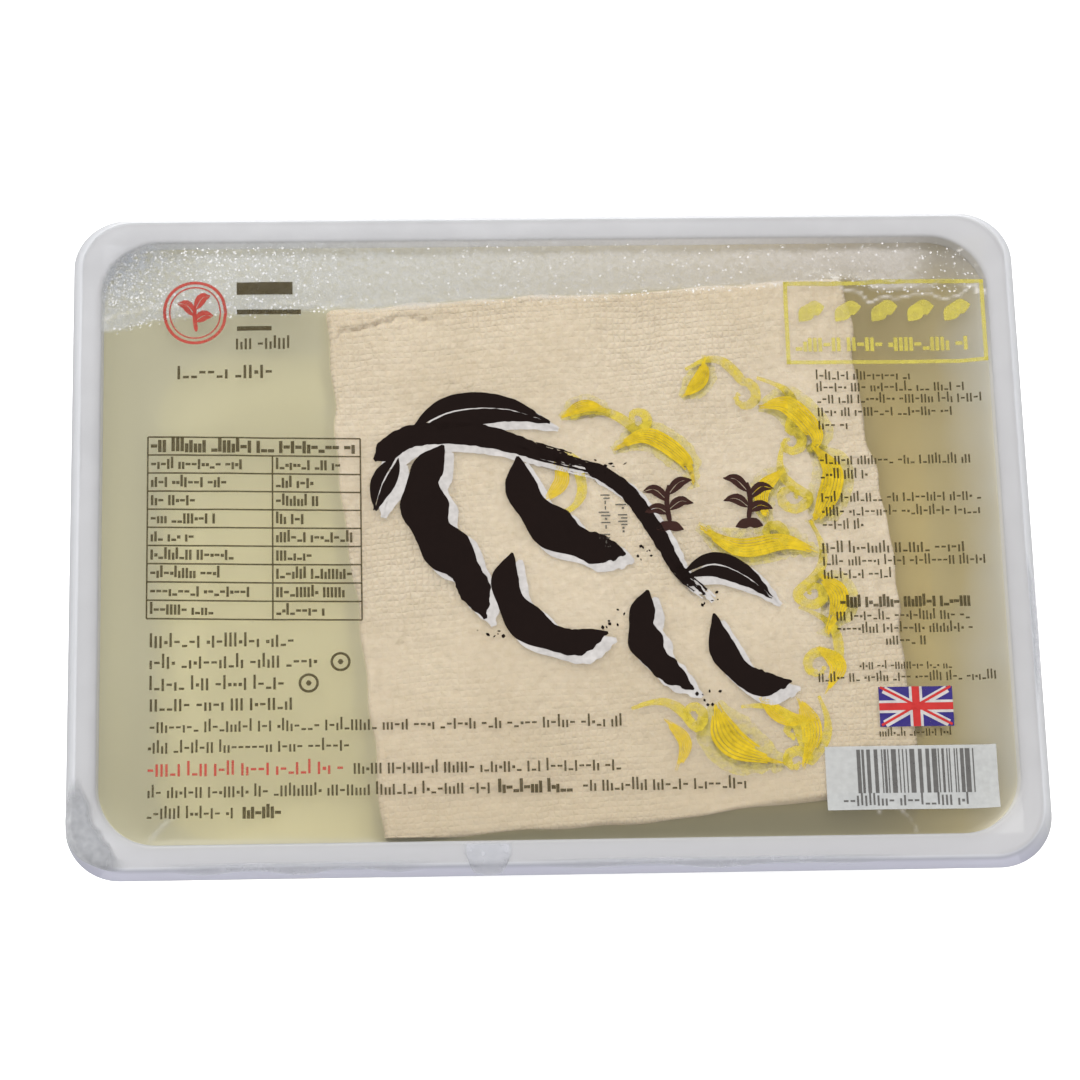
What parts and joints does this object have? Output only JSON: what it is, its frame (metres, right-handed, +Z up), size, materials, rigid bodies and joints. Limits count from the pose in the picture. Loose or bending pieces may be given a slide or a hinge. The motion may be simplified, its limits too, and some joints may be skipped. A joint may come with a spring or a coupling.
{
  "type": "sealed tub of tofu",
  "caption": "Milky plastic tub with a turned-down rim, holding a block of fresh tofu in soaking water under a clear printed lidding film.",
  "frame": {"origin": "on the table, under the middle of the tub", "axes": "+Z up, +X along the tub's long side, -Y towards the front of the tub, the edge nearest the reader of its print"},
  "size_m": [0.187, 0.1362, 0.0508],
  "materials": {
    "milky_plastic": "natural polypropylene, milky and slightly see-through, smooth",
    "tofu": "cream bean curd, moist, with the fine imprint of its pressing cloth",
    "soaking_water": "cloudy yellowish soaking water",
    "clear_film": "thin clear lidding film, glossy, faintly wrinkled",
    "printed_ink": "thin flexible ink printed on the film"
  },
  "bodies": {
    "root": {"tray": "milky_plastic", "tofu_block": "tofu", "water": "soaking_water", "film": "clear_film"}
  },
  "joints": []
}
